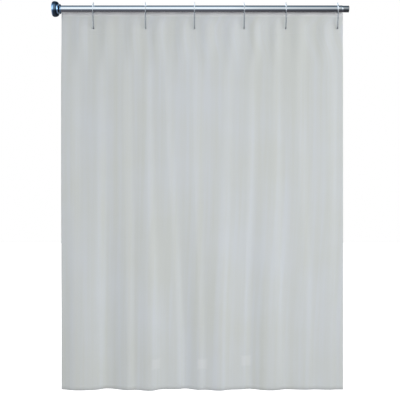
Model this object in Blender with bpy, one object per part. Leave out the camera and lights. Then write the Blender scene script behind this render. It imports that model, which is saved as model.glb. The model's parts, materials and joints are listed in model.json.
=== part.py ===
"""Shower curtain on a sprung, twist-locked tension rod: sheet, eyelets, wire hooks and rod.

The origin is where the rod's axis meets the left wall. +X runs along the rod, +Z is up,
and the room is on the -Y side. All sizes are in metres.
"""

import math

import bmesh
import bpy
from mathutils import Matrix, Vector

# ---- rod ----
TUBE_R = 0.01725          # outside radius of the fixed tube
TUBE_WALL = 0.0009
TUBE_X1 = 1.4112          # the tube's mouth, where the inner tube comes out
INNER_WALL = 0.0008
INNER_LENGTH = 0.5175
STUB_LENGTH = 0.0285      # how far the inner tube stands out of the mouth
SLIDE_GAP = 0.00035       # radial gap between the two tubes
FIT_GAP = 0.0003          # gap between pieces that touch on the real rod
ROUND_STEPS = 36

# ---- left end: wall foot and flange ----
PAD_THICK = 0.0042
PAD_INSET = 0.0025        # the pad is this much smaller in radius than the flange's rim
FLANGE_R = 0.0377         # at the belly of the flange
FLANGE_RIM_R = 0.0300     # at the wall
FLANGE_NECK_R = 0.0255
FLANGE_RIM_X = 0.0007
FLANGE_BELLY_X = 0.0125
FLANGE_NECK_X = 0.0328
FLANGE_WALL = 0.0015
SHAFT_END_X = 0.1080      # plunger shaft, inside the tube
DISC_INSET = 0.0025       # the plunger's disc is this much smaller in radius than the pad
DISC_THICK = 0.0040
GROOVE = 0.0038           # dark gap that closes as the foot is pressed
COLLAR_R = 0.0245
COLLAR_LENGTH = 0.0060
COLLAR_LIP = 0.0014
COLLAR_ROUND = 0.0025
TUBE_END_GAP = 0.0004     # between the collar's lip and the tube's end

# ---- spring ----
SPRING_LENGTH = 0.080
SPRING_R = 0.0115         # to the middle of the wire
SPRING_WIRE_R = 0.0011
SPRING_TURNS = 10
SPIGOT_PLAY = 0.0019      # between the spring and the noses that keep it straight
SPIGOT_LENGTH = 0.0150
SEAT_THICK = 0.0080

# ---- cam lock at the inner tube's hidden end ----
PLUG_DEPTH = 0.025
PLUG_HEAD = 0.005
PIN_OFFSET = 0.0015       # the cam pin's axis above the tube's axis
PIN_R = 0.0050
LOBE_LENGTH = 0.0165
LOBE_CLEARANCE = 0.0015   # what the lobe moves before it jams in the tube
JOURNAL_R = 0.0030
BUSH_LENGTH = 0.0125
HEAD_R = 0.0050
HEAD_THICK = 0.0030
END_FACE = 0.0025         # rubber face on the right end

# ---- hooks ----
HOOK_WIRE_R = 0.0025
HOOK_FLANK = math.radians(35)     # slope of the arch, from upright
HOOK_APEX_R = 0.0076
HOOK_LOOP_R = 0.0075              # loop that carries the eyelet
HOOK_DROP = 0.0930                # rod axis to the bottom of the loop
HOOK_LAP = 0.012                  # the wire's two ends lie side by side over this
HOOK_LAP_LOW = 0.044              # lower end of the lap, below the rod's axis
# where each hook holds the sheet, as shares of the hung width
HOOK_SHARES = (0.1138, 0.2992, 0.4726, 0.6488, 0.7969, 0.9805)
FIRST_VALLEY_SHARE = 0.0166       # the fold that starts the sheet, left of the first hook

# ---- sheet ----
SHEET_SIDE_GAP = 0.0010           # from the collar to the sheet's left edge
SHEET_OVERHANG = 0.0045           # how far the sheet passes the tube's mouth
SHEET_GAP = 0.00125               # below the rod
SHEET_HEIGHT = 1.834
SHEET_THICK = 0.0004
LAYER_GAP = 0.0003                # between welded layers
FOLD_DEPTH = 0.0249
FOLD_STEPS = 6
FLAT_MARGIN = 0.007               # the sheet is flat this far beyond an eyelet's rim
HEADER_BELOW_EYELET = 0.0264      # the header band goes on this far below the eyelets
HEM_HEIGHT = 0.022
LAYER_INSET = 0.001
MAGNET_SIDE = 0.040
MAGNET_THICK = 0.0020
POCKET_MARGIN = 0.004             # welded border round each magnet
# each magnet: share of the hung width, height above the bottom edge
MAGNETS = ((0.3366, 0.127), (0.5001, 0.127), (0.6562, 0.140))

# ---- eyelets ----
EYELET_HOLE_R = 0.0036
EYELET_WALL = 0.0013              # of the barrel, through the sheet
EYELET_LIP = 0.0022               # of the rims, beyond the barrel
EYELET_RIM = 0.0012
EYELET_STEPS = 16
EYELET_PLAY = 0.0010              # between the top of the hole and the hook's wire

# ---- worked out ----
PAD_R = FLANGE_RIM_R - PAD_INSET
DISC_R = PAD_R - DISC_INSET
COLLAR_X0 = FLANGE_NECK_X + GROOVE
TUBE_X0 = COLLAR_X0 + COLLAR_LIP + TUBE_END_GAP
TUBE_BORE_R = TUBE_R - TUBE_WALL
SHAFT_R = TUBE_BORE_R - SLIDE_GAP
SPIGOT_R = SPRING_R - SPRING_WIRE_R - SPIGOT_PLAY
INNER_R = TUBE_BORE_R - SLIDE_GAP
INNER_BORE_R = INNER_R - INNER_WALL
INNER_X1 = TUBE_X1 + STUB_LENGTH
INNER_X0 = INNER_X1 - INNER_LENGTH
SPRING_X0 = SHAFT_END_X + FIT_GAP
SPRING_X1 = SPRING_X0 + SPRING_LENGTH
SEAT_X0 = SPRING_X1 + FIT_GAP
PLUG_X0 = INNER_X0 - PLUG_HEAD
LOBE_X1 = PLUG_X0 - FIT_GAP
LOBE_X0 = LOBE_X1 - LOBE_LENGTH
PIN_X0 = LOBE_X0 - FIT_GAP
BUSH_X1 = PIN_X0 - FIT_GAP
BUSH_X0 = BUSH_X1 - BUSH_LENGTH
HEAD_X1 = BUSH_X0 - FIT_GAP
SHEET_X0 = COLLAR_X0 + COLLAR_LENGTH + SHEET_SIDE_GAP
SHEET_X1 = TUBE_X1 + SHEET_OVERHANG
SHEET_WIDTH = SHEET_X1 - SHEET_X0
SHEET_TOP = -(TUBE_R + SHEET_GAP)
SHEET_BOTTOM = SHEET_TOP - SHEET_HEIGHT
HEADER_NEAR = SHEET_THICK / 2 + LAYER_GAP
HEADER_FAR = HEADER_NEAR + SHEET_THICK
EYELET_BARREL_R = EYELET_HOLE_R + EYELET_WALL
EYELET_RIM_R = EYELET_BARREL_R + EYELET_LIP
EYELET_SEAT = EYELET_HOLE_R - HOOK_WIRE_R - EYELET_PLAY
EYELET_Z = -(HOOK_DROP + EYELET_SEAT)      # the hole hangs a little below the loop's middle
FLAT_HALF = EYELET_RIM_R + FLAT_MARGIN
HEADER_TOP = SHEET_TOP - LAYER_INSET
HEADER_BOTTOM = EYELET_Z - HEADER_BELOW_EYELET
POCKET_SIDE = MAGNET_SIDE + 2 * POCKET_MARGIN


def station(share):
    """X of a share of the hung width."""
    return SHEET_X0 + share * SHEET_WIDTH


HOOK_X = [station(share) for share in HOOK_SHARES]


def valley_stations():
    """Where the folds lie back: at each hook, and halfway between two hooks."""
    between = [station(FIRST_VALLEY_SHARE)]
    between += [(a + b) / 2 for a, b in zip(HOOK_X, HOOK_X[1:])]
    return [x for pair in zip(between, HOOK_X) for x in pair]


VALLEY_X = valley_stations()


def rear_y():
    """Y of the sheet at its eyelets, so that the folds balance about the rod's axis."""
    bulges = sum(b - a - 2 * FLAT_HALF for a, b in zip(VALLEY_X, VALLEY_X[1:]))
    return FOLD_DEPTH / 2 * bulges / SHEET_WIDTH


REAR_Y = rear_y()


# ---- helpers ----
def finish(colour, roughness, metallic=0.0, alpha=1.0):
    """A plain Principled material."""
    made = bpy.data.materials.new("finish")
    made.use_nodes = True
    shader = made.node_tree.nodes["Principled BSDF"]
    shader.inputs["Base Color"].default_value = (*colour, 1.0)
    shader.inputs["Roughness"].default_value = roughness
    shader.inputs["Metallic"].default_value = metallic
    shader.inputs["Alpha"].default_value = alpha
    return made


def body(name, data, material, place=(0.0, 0.0, 0.0)):
    """A named object from a mesh or a curve."""
    made = bpy.data.objects.new(name, data)
    bpy.context.collection.objects.link(made)
    made.location = place
    data.materials.clear()
    data.materials.append(material)
    return made


def axis_empty(name, place):
    """An empty that marks a joint's axis."""
    made = bpy.data.objects.new(name, None)
    bpy.context.collection.objects.link(made)
    made.location = place
    return made


def carry(parent, *children):
    """Parent the children without moving them."""
    for child in children:
        child.parent = parent
        child.matrix_parent_inverse = Matrix.Translation(-parent.location)


def turned_mesh(name, profile, ring=True, steps=ROUND_STEPS, axis=(1, 0, 0)):
    """Spin a profile of (along, radius) pairs about an axis; a ring's profile is closed."""
    axis = Vector(axis)
    side = Vector((0, 0, 1))
    shape = bmesh.new()
    points = [shape.verts.new(axis * along + side * radius) for along, radius in profile]
    pairs = list(zip(points, points[1:]))
    if ring:
        pairs.append((points[-1], points[0]))
    edges = [shape.edges.new(pair) for pair in pairs]
    bmesh.ops.spin(shape, geom=points + edges, cent=(0, 0, 0), axis=axis,
                   angle=2 * math.pi, steps=steps, use_duplicate=False)
    bmesh.ops.remove_doubles(shape, verts=shape.verts, dist=1e-6)
    bmesh.ops.recalc_face_normals(shape, faces=shape.faces)
    mesh = bpy.data.meshes.new(name)
    shape.to_mesh(mesh)
    shape.free()
    mesh.shade_smooth()
    mesh.set_sharp_from_angle(angle=math.radians(35))
    return mesh


def sleeve(x0, x1, bore, outside):
    """Closed profile of a plain tube."""
    return [(x0, bore), (x0, outside), (x1, outside), (x1, bore)]


def rod_profile(*steps):
    """Open profile of a solid turned piece from (x0, x1, radius) steps, left to right."""
    points = [(steps[0][0], 0.0)]
    for x0, x1, radius in steps:
        points += [(x0, radius), (x1, radius)]
    return points + [(steps[-1][1], 0.0)]


def boolean(target, tool, operation, solver="EXACT"):
    """Join or cut with a tool object, which is hidden from the model."""
    change = target.modifiers.new(operation.lower(), "BOOLEAN")
    change.operation = operation
    change.object = tool
    change.solver = solver
    tool.hide_render = True
    tool.display_type = "WIRE"


# ---- left end ----
def arc_profile(shrink):
    """The flange's rounded outline from its rim to its neck, shrunk by a wall."""
    turns = [math.pi / 2 * i / 7 for i in range(8)]
    rise = FLANGE_BELLY_X - FLANGE_RIM_X
    fall = FLANGE_NECK_X - shrink - FLANGE_BELLY_X
    rim_swell, neck_swell = FLANGE_R - FLANGE_RIM_R, FLANGE_R - FLANGE_NECK_R
    left = [(FLANGE_BELLY_X - rise * math.cos(t),
             FLANGE_RIM_R - shrink + rim_swell * math.sin(t)) for t in turns]
    right = [(FLANGE_BELLY_X + fall * math.sin(t),
              FLANGE_NECK_R - shrink + neck_swell * math.cos(t)) for t in turns[1:]]
    return left + right


def end_flange(chrome):
    hole = SHAFT_R + SLIDE_GAP
    outside = arc_profile(0.0)
    inside = arc_profile(FLANGE_WALL)
    neck = [(FLANGE_NECK_X, hole), (FLANGE_NECK_X - FLANGE_WALL, hole)]
    profile = outside + neck + inside[::-1]
    return body("end_flange", turned_mesh("end_flange", profile), chrome)


def foot_pad(rubber):
    bevel = 0.0008
    profile = [(0, 0), (0, PAD_R - bevel), (bevel, PAD_R), (PAD_THICK, PAD_R), (PAD_THICK, 0)]
    return body("foot_pad", turned_mesh("foot_pad", profile, ring=False), rubber)


def foot_plunger(plastic):
    disc_x0 = PAD_THICK + FIT_GAP
    disc_x1 = disc_x0 + DISC_THICK
    profile = rod_profile(
        (disc_x0, disc_x1, DISC_R),
        (disc_x1, SHAFT_END_X, SHAFT_R),
        (SHAFT_END_X, SHAFT_END_X + SPIGOT_LENGTH, SPIGOT_R),
    )
    return body("foot_plunger", turned_mesh("foot_plunger", profile, ring=False), plastic)


def tube_collar(chrome):
    x1 = COLLAR_X0 + COLLAR_LENGTH
    lip_x = COLLAR_X0 + COLLAR_LIP
    bore = TUBE_R + FIT_GAP
    edge = COLLAR_ROUND
    turns = [math.radians(angle) for angle in (0, 30, 60, 90)]
    left = [(COLLAR_X0 + edge - edge * math.cos(t), COLLAR_R - edge + edge * math.sin(t))
            for t in turns]
    right = [(x1 - edge + edge * math.sin(t), COLLAR_R - edge + edge * math.cos(t))
             for t in turns]
    lip_r = SHAFT_R + SLIDE_GAP
    profile = [(COLLAR_X0, lip_r)] + left + right
    profile += [(x1, bore), (lip_x, bore), (lip_x, lip_r)]
    return body("tube_collar", turned_mesh("tube_collar", profile), chrome)


# ---- spring ----
def tension_spring(steel):
    per_turn = 9
    count = SPRING_TURNS * per_turn
    rise = SPRING_LENGTH - 2 * SPRING_WIRE_R
    path = bpy.data.curves.new("tension_spring", "CURVE")
    path.dimensions = "3D"
    path.bevel_depth = SPRING_WIRE_R
    path.bevel_resolution = 2
    path.use_fill_caps = True
    line = path.splines.new("POLY")
    line.points.add(count)
    for i, point in enumerate(line.points):
        turn = 2 * math.pi * i / per_turn
        x = SPRING_X0 + SPRING_WIRE_R + rise * i / count
        point.co = (x, SPRING_R * math.sin(turn), SPRING_R * math.cos(turn), 1.0)
    return body("tension_spring", path, steel)


def spring_seat(plastic):
    profile = rod_profile(
        (SEAT_X0 - SPIGOT_LENGTH, SEAT_X0, SPIGOT_R),
        (SEAT_X0, SEAT_X0 + SEAT_THICK, TUBE_BORE_R - FIT_GAP),
    )
    return body("spring_seat", turned_mesh("spring_seat", profile, ring=False), plastic)


# ---- tubes and cam lock ----
def outer_tube(chrome):
    profile = sleeve(TUBE_X0, TUBE_X1, TUBE_BORE_R, TUBE_R)
    return body("outer_tube", turned_mesh("outer_tube", profile), chrome)


def inner_tube(chrome):
    profile = sleeve(INNER_X0, INNER_X1, INNER_BORE_R, INNER_R)
    return body("inner_tube", turned_mesh("inner_tube", profile), chrome)


def cam_spigot(plastic):
    """Plug in the inner tube's end, with the off-centre pin and a journal beyond it."""
    plug = rod_profile(
        (PLUG_X0, INNER_X0 - FIT_GAP, INNER_R - FIT_GAP),
        (INNER_X0 - FIT_GAP, INNER_X0 + PLUG_DEPTH, INNER_BORE_R - FIT_GAP),
    )
    made = body("cam_spigot", turned_mesh("cam_spigot", plug, ring=False), plastic)
    overlap = 0.001
    pin = rod_profile((PIN_X0, PLUG_X0 + overlap, PIN_R))
    pin = turned_mesh("cam_pin_shape", pin, ring=False, steps=20)
    journal = rod_profile(
        (HEAD_X1 - HEAD_THICK, HEAD_X1, HEAD_R),
        (HEAD_X1, PIN_X0 + overlap, JOURNAL_R),
    )
    journal = turned_mesh("journal_shape", journal, ring=False, steps=20)
    boolean(made, body("cam_pin_shape", pin, plastic, (0, 0, PIN_OFFSET)), "UNION")
    boolean(made, body("journal_shape", journal, plastic), "UNION")
    return made


def cam_lobe(nylon):
    radius = TUBE_BORE_R - LOBE_CLEARANCE
    disc = rod_profile((LOBE_X0, LOBE_X1, radius))
    made = body("cam_lobe", turned_mesh("cam_lobe", disc, ring=False), nylon)
    through = rod_profile((LOBE_X0 - FIT_GAP, LOBE_X1 + FIT_GAP, PIN_R + FIT_GAP))
    cutter = turned_mesh("lobe_bore", through, ring=False, steps=20)
    boolean(made, body("lobe_bore", cutter, nylon, (0, 0, PIN_OFFSET)), "DIFFERENCE")
    return made


def guide_bush(nylon):
    profile = sleeve(BUSH_X0, BUSH_X1, JOURNAL_R + FIT_GAP, TUBE_BORE_R - FIT_GAP)
    return body("guide_bush", turned_mesh("guide_bush", profile), nylon)


def right_foot(rubber):
    """Rubber plug that closes the inner tube and bears on the right wall."""
    face_x = INNER_X1 + FIT_GAP
    profile = rod_profile(
        (INNER_X1 - PLUG_DEPTH, face_x, INNER_BORE_R - FIT_GAP),
        (face_x, INNER_X1 + END_FACE, INNER_R),
    )
    return body("right_foot", turned_mesh("right_foot", profile, ring=False), rubber)


# ---- hooks ----
def tangent_angles():
    """Outward directions of the two straight legs that touch the rod circle and the loop."""
    seat = TUBE_R + FIT_GAP + HOOK_WIRE_R
    gap = Vector((-REAR_Y, HOOK_DROP - HOOK_LOOP_R))
    heading = math.atan2(gap.y, gap.x)
    lean = math.acos((HOOK_LOOP_R - seat) / gap.length)
    return heading + lean, heading - lean


def arc(centre, radius, start, stop, count):
    """Points along an arc in the YZ plane."""
    turns = [start + (stop - start) * i / count for i in range(count + 1)]
    return [Vector((0, centre[0] + radius * math.cos(t), centre[1] + radius * math.sin(t)))
            for t in turns]


def hook_points():
    """The wire from its upper end at the back, over the rod, round the loop and up again."""
    seat = TUBE_R + FIT_GAP + HOOK_WIRE_R
    apex_z = (seat - HOOK_APEX_R) / math.sin(HOOK_FLANK)
    front, back = tangent_angles()
    loop = (REAR_Y, HOOK_LOOP_R - HOOK_DROP)
    rod_back = arc((0, 0), seat, back, HOOK_FLANK, 2)
    apex = arc((0, apex_z), HOOK_APEX_R, HOOK_FLANK, math.pi - HOOK_FLANK, 5)
    rod_front = arc((0, 0), seat, math.pi - HOOK_FLANK, front, 3)
    round_loop = arc(loop, HOOK_LOOP_R, front, back + 2 * math.pi, 8)
    leg_top, leg_foot = rod_back[0], round_loop[-1]
    along = (leg_foot - leg_top).normalized()

    def on_leg(depth, shift):
        point = leg_top + along * ((leg_top.z + depth) / -along.z)
        point.x = shift
        return point

    beside = HOOK_WIRE_R + FIT_GAP / 2
    top = HOOK_LAP_LOW - HOOK_LAP
    upper_end = [on_leg(HOOK_LAP_LOW, -beside), on_leg(top, -beside)]
    lower_end = [on_leg(HOOK_LAP_LOW, beside), on_leg(top, beside)]
    return upper_end + rod_back + apex + rod_front + round_loop + lower_end


def hooks(steel):
    path = bpy.data.curves.new("hook_wire", "CURVE")
    path.dimensions = "3D"
    path.bevel_depth = HOOK_WIRE_R
    path.bevel_resolution = 2
    path.use_fill_caps = True
    points = hook_points()
    line = path.splines.new("POLY")
    line.points.add(len(points) - 1)
    for slot, point in zip(line.points, points):
        slot.co = (*point, 1.0)
    return [body(f"hook_{i}", path, steel, (x, 0, 0)) for i, x in enumerate(HOOK_X, 1)]


# ---- sheet ----
def fold_line():
    """Plan of the sheet's middle: flat at each valley, with one bulge forward between."""
    points = [(SHEET_X0, REAR_Y)]
    for here, following in zip(VALLEY_X, VALLEY_X[1:] + [None]):
        points += [(here - FLAT_HALF, REAR_Y), (here + FLAT_HALF, REAR_Y)]
        if following is None:
            break
        start = here + FLAT_HALF
        length = following - FLAT_HALF - start
        for i in range(1, FOLD_STEPS):
            share = i / FOLD_STEPS
            bulge = FOLD_DEPTH * (1 - math.cos(2 * math.pi * share)) / 2
            points.append((start + length * share, REAR_Y - bulge))
    points.append((SHEET_X1, REAR_Y))
    return [Vector(point) for point in points]


def part_of(line, x0, x1):
    """The stretch of a plan line between two X values."""
    def at(x):
        for a, b in zip(line, line[1:]):
            if a.x <= x <= b.x:
                return a.lerp(b, (x - a.x) / (b.x - a.x))
        return line[-1].copy()

    return [at(x0)] + [p for p in line if x0 < p.x < x1] + [at(x1)]


def offset(line, distance):
    """The plan line moved sideways, towards +Y for a positive distance."""
    moved = []
    for i, point in enumerate(line):
        before = (point - line[i - 1]).normalized() if i else None
        after = (line[i + 1] - point).normalized() if i + 1 < len(line) else None
        sides = [Vector((-d.y, d.x)) for d in (before, after) if d]
        middle = sum(sides, Vector((0, 0))).normalized()
        moved.append(point + middle * (distance / middle.dot(sides[0])))
    return moved


def shifted(line, distance):
    """The plan line moved straight back, which keeps its ends square however it bends."""
    return [Vector((p.x, p.y + distance)) for p in line]


def ribbon_mesh(name, near, far, low, high):
    """A strip of sheet between two plan lines and two heights."""
    shape = bmesh.new()
    base = [shape.verts.new((p.x, p.y, low)) for p in near + far[::-1]]
    half = len(near)
    faces = []
    for i in range(half - 1):
        quad = (base[i], base[i + 1], base[-i - 2], base[-i - 1])
        faces.append(shape.faces.new(quad))
    grown = bmesh.ops.extrude_face_region(shape, geom=faces)
    tops = [item for item in grown["geom"] if isinstance(item, bmesh.types.BMVert)]
    bmesh.ops.translate(shape, verts=tops, vec=(0, 0, high - low))
    bmesh.ops.recalc_face_normals(shape, faces=shape.faces)
    mesh = bpy.data.meshes.new(name)
    shape.to_mesh(mesh)
    shape.free()
    return mesh


def eyelet_cutters(plastic):
    """One cylinder through the layers at each eyelet, as separate bodies of one tool."""
    reach = 0.003
    hole = rod_profile((-reach, reach, EYELET_BARREL_R + FIT_GAP))
    single = turned_mesh("hole", hole, ring=False, steps=EYELET_STEPS, axis=(0, 1, 0))
    shape = bmesh.new()
    for x in HOOK_X:
        before = len(shape.verts)
        shape.from_mesh(single)
        shape.verts.ensure_lookup_table()
        bmesh.ops.translate(shape, verts=shape.verts[before:], vec=(x, REAR_Y, EYELET_Z))
    mesh = bpy.data.meshes.new("eyelet_holes")
    shape.to_mesh(mesh)
    shape.free()
    return body("eyelet_holes", mesh, plastic)


def sheet_layers(film, plastic):
    """The sheet, with the header band and the hem welded on its back."""
    line = fold_line()
    inner = part_of(line, SHEET_X0 + LAYER_INSET, SHEET_X1 - LAYER_INSET)
    half = SHEET_THICK / 2
    faces = offset(line, -half), offset(line, half)
    welded = offset(inner, HEADER_NEAR), offset(inner, HEADER_FAR)
    sheet = ribbon_mesh("curtain_sheet", *faces, SHEET_BOTTOM, SHEET_TOP)
    sheet = body("curtain_sheet", sheet, film)
    header = ribbon_mesh("header_band", *welded, HEADER_BOTTOM, HEADER_TOP)
    header = body("header_band", header, film)
    hem_low = SHEET_BOTTOM + LAYER_INSET
    hem = ribbon_mesh("bottom_hem", *welded, hem_low, hem_low + HEM_HEIGHT)
    hem = body("bottom_hem", hem, film)
    holes = eyelet_cutters(plastic)
    boolean(sheet, holes, "DIFFERENCE")
    boolean(header, holes, "DIFFERENCE")
    return [sheet, header, hem]


def patch(name, line, share, height, side, near, far):
    """A square of the sheet's shape about a share of the width."""
    x = station(share)
    z = SHEET_BOTTOM + height
    stretch = part_of(line, x - side / 2, x + side / 2)
    faces = shifted(stretch, near), shifted(stretch, far)
    return ribbon_mesh(name, *faces, z - side / 2, z + side / 2)


def magnets(film, rubber):
    """Flexible magnets behind the sheet, each under a square pocket."""
    line = fold_line()
    made = []
    near = HEADER_NEAR
    far = near + MAGNET_THICK
    for i, (share, height) in enumerate(MAGNETS, 1):
        magnet = patch(f"magnet_{i}", line, share, height, MAGNET_SIDE, near, far)
        room = patch(f"pocket_room_{i}", line, share, height, MAGNET_SIDE + 2 * LAYER_GAP,
                     near - LAYER_GAP, far + LAYER_GAP)
        pocket = patch(f"magnet_pocket_{i}", line, share, height, POCKET_SIDE,
                       near, far + LAYER_GAP + SHEET_THICK)
        made.append(body(f"magnet_{i}", magnet, rubber))
        made.append(body(f"magnet_pocket_{i}", pocket, film))
        tool = body(f"pocket_room_{i}", room, film)
        boolean(made[-1], tool, "DIFFERENCE", solver="MANIFOLD")
    return made


# ---- eyelets ----
def eyelets(plastic):
    front = -(SHEET_THICK / 2 + LAYER_GAP)
    back = HEADER_FAR + LAYER_GAP
    profile = [
        (front, EYELET_BARREL_R), (front, EYELET_RIM_R), (front - EYELET_RIM, EYELET_RIM_R),
        (front - EYELET_RIM, EYELET_HOLE_R), (back + EYELET_RIM, EYELET_HOLE_R),
        (back + EYELET_RIM, EYELET_RIM_R), (back, EYELET_RIM_R), (back, EYELET_BARREL_R),
    ]
    mesh = turned_mesh("eyelet", profile, steps=EYELET_STEPS, axis=(0, 1, 0))
    return [body(f"eyelet_{i}", mesh, plastic, (x, REAR_Y, EYELET_Z))
            for i, x in enumerate(HOOK_X, 1)]


def build():
    for old in list(bpy.data.objects):
        bpy.data.objects.remove(old, do_unlink=True)

    chrome = finish((0.80, 0.84, 0.88), 0.12, 1.0)
    steel = finish((0.55, 0.57, 0.60), 0.25, 1.0)
    rubber = finish((0.22, 0.22, 0.23), 0.7)
    plastic = finish((0.16, 0.17, 0.18), 0.45)
    nylon = finish((0.85, 0.84, 0.80), 0.5)
    clear = finish((0.92, 0.93, 0.93), 0.3)
    film = finish((0.80, 0.83, 0.85), 0.45, alpha=0.9)

    wall_axis = axis_empty("wall_axis", (0, 0, 0))
    tube_axis = axis_empty("tube_axis", (TUBE_X0, 0, 0))
    lock_axis = axis_empty("lock_axis", (HEAD_X1, 0, 0))
    cam_axis = axis_empty("cam_axis", (PIN_X0, 0, PIN_OFFSET))
    hang_axis = axis_empty("hang_axis", (SHEET_X0, 0, 0))

    carry(wall_axis, foot_pad(rubber), end_flange(chrome), foot_plunger(plastic))
    carry(wall_axis, tension_spring(steel))
    carry(tube_axis, outer_tube(chrome), tube_collar(chrome), spring_seat(plastic))
    carry(lock_axis, guide_bush(nylon), inner_tube(chrome), right_foot(rubber))
    carry(lock_axis, cam_spigot(plastic))
    carry(cam_axis, cam_lobe(nylon))
    carry(hang_axis, *sheet_layers(film, clear), *magnets(film, rubber))
    carry(hang_axis, *eyelets(clear), *hooks(steel))


build()
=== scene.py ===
# %% [markdown]
# # A shower curtain on a tension rod
#
# The object is a frosted plastic liner that hangs from six wire hooks on a chrome
# tension rod. The rod has a round flange at its left end and ends plain at its right.
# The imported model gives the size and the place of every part, so each step below reads
# its measures from that frame and builds the surface that the eye sees around it.

# %% Load the frame
import json
from math import acos, atan2, cos, hypot, pi, radians, sin, sqrt

import bmesh
import bpy
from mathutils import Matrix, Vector, noise


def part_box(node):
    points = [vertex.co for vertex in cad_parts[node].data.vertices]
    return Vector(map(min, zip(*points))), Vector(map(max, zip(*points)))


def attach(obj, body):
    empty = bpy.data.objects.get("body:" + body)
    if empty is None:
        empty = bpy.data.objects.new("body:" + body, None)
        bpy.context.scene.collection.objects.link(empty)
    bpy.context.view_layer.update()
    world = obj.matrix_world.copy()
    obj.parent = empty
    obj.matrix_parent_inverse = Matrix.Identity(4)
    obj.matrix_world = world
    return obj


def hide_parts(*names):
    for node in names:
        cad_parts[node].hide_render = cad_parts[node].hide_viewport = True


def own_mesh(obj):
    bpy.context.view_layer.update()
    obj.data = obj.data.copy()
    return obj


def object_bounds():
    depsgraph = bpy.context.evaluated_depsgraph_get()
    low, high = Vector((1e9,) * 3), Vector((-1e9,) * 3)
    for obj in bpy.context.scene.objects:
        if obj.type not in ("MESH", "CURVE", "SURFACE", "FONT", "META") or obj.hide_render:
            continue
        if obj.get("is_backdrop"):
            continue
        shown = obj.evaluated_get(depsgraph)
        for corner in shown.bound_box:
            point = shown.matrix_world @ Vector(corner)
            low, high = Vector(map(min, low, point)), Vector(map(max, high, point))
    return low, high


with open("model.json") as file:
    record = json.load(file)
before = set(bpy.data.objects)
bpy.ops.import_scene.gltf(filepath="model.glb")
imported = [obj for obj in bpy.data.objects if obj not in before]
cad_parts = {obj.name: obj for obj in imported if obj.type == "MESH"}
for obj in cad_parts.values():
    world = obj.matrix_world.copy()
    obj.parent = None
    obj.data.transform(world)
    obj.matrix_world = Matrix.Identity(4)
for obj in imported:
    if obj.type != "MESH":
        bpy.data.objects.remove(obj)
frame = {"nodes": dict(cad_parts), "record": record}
cad_low, cad_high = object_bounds()
print("frame", [round(v, 4) for v in (cad_high - cad_low)])

# %% [markdown]
# ## Small helpers
#
# Colours are written as the hex values that a paint chart gives, and Blender's sockets
# want linear light, so one function turns them. One more function adds a node to any
# tree, sets its properties and inputs, and links the inputs that are other sockets.
# Two short ones put an object in the scene and start a material.


# %% Colour, node and object helpers
def linear(hex_colour):
    """An sRGB hex colour as linear RGBA."""
    parts = [int(hex_colour[i:i + 2], 16) / 255 for i in (1, 3, 5)]
    curve = [p / 12.92 if p <= 0.04045 else ((p + 0.055) / 1.055) ** 2.4 for p in parts]
    return (*curve, 1.0)


def add(tree, kind, inputs=None, **settings):
    """A node with its settings, and its inputs set or linked."""
    made = tree.nodes.new(kind)
    for key, value in settings.items():
        setattr(made, key, value)
    for key, value in (inputs or {}).items():
        if isinstance(value, bpy.types.NodeSocket):
            tree.links.new(value, made.inputs[key])
        else:
            made.inputs[key].default_value = value
    return made


def in_scene(name, data):
    """A new object in the scene, at the origin."""
    made = bpy.data.objects.new(name, data)
    bpy.context.scene.collection.objects.link(made)
    return made


def finish_named(name, colour, roughness, metallic=0.0, **sockets):
    """A Principled material; extra sockets are named with underscores for spaces."""
    made = bpy.data.materials.new(name)
    made.use_nodes = True
    shader = made.node_tree.nodes["Principled BSDF"]
    shader.inputs["Base Color"].default_value = linear(colour)
    shader.inputs["Roughness"].default_value = roughness
    shader.inputs["Metallic"].default_value = metallic
    for key, value in sockets.items():
        shader.inputs[key.replace("_", " ")].default_value = value
    return made, made.node_tree, shader


# %% [markdown]
# ## Camera
#
# The view is square on and level, from about the middle of the curtain's height. At that
# distance the rod is seen exactly from the side, and its left flange bulges slightly.

# %% Camera
CAMERA_DISTANCE = 3.4
CAMERA_LENS = 62.9  # mm, on the default 36 mm sensor
VIEW_CENTRE_X = 0.7188
VIEW_CENTRE_Z = -0.9288

camera = in_scene("camera", bpy.data.cameras.new("camera"))
camera.location = (VIEW_CENTRE_X, -CAMERA_DISTANCE, VIEW_CENTRE_Z)
camera.rotation_euler = (pi / 2, 0, 0)
camera.data.lens = CAMERA_LENS
camera.data.clip_end = 50
bpy.context.scene.camera = camera
bpy.context.scene.view_settings.view_transform = "Standard"
print("camera", [round(v, 3) for v in camera.location])

# %% [markdown]
# ## Studio
#
# Chrome shows what stands around it. Here the world is a plain studio: a wide bright
# panel above and in front, a darker ceiling, a pale wall low behind, bright panels far to
# both sides, and a dark room below eye level. The bands that polished tube shows are those
# panels and that dark room. Only mirror rays see them. The camera sees a white backdrop,
# and matt surfaces get one even light. The floor is kept out of mirror reflections.

# %% World and floor
FLOOR_DROP = 0.035  # floor below the hem
FLOOR_HALF = 12.0  # half the floor's side
PANEL_STOPS = (  # share of a turn from straight down in front, brightness
    (0.00, "#625F62"), (0.10, "#57565D"), (0.155, "#5C5E66"), (0.195, "#A3ACB6"),
    (0.235, "#F2F8FC"), (0.27, "#FFFFFF"), (0.33, "#FFFFFF"), (0.385, "#D2E4F2"),
    (0.435, "#7E8E9C"), (0.50, "#56626E"), (0.56, "#56626D"), (0.62, "#6A7682"),
    (0.69, "#C8D2DA"), (0.75, "#D8E0E6"), (0.82, "#7A828A"), (0.90, "#5E6168"),
    (1.00, "#625F62"),
)
AMBIENT = 0.488  # even light that matt surfaces receive
SIDE_STOPS = (  # how far to the side, from left to right, and brightness
    (-1.00, 4.6), (-0.62, 4.6), (-0.50, 0.5), (-0.40, 1.0), (0.00, 1.0), (0.08, 0.76),
    (0.20, 0.62), (0.28, 0.5), (0.40, 0.3), (0.66, 0.3), (0.78, 5.2), (1.00, 5.2),
)
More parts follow.
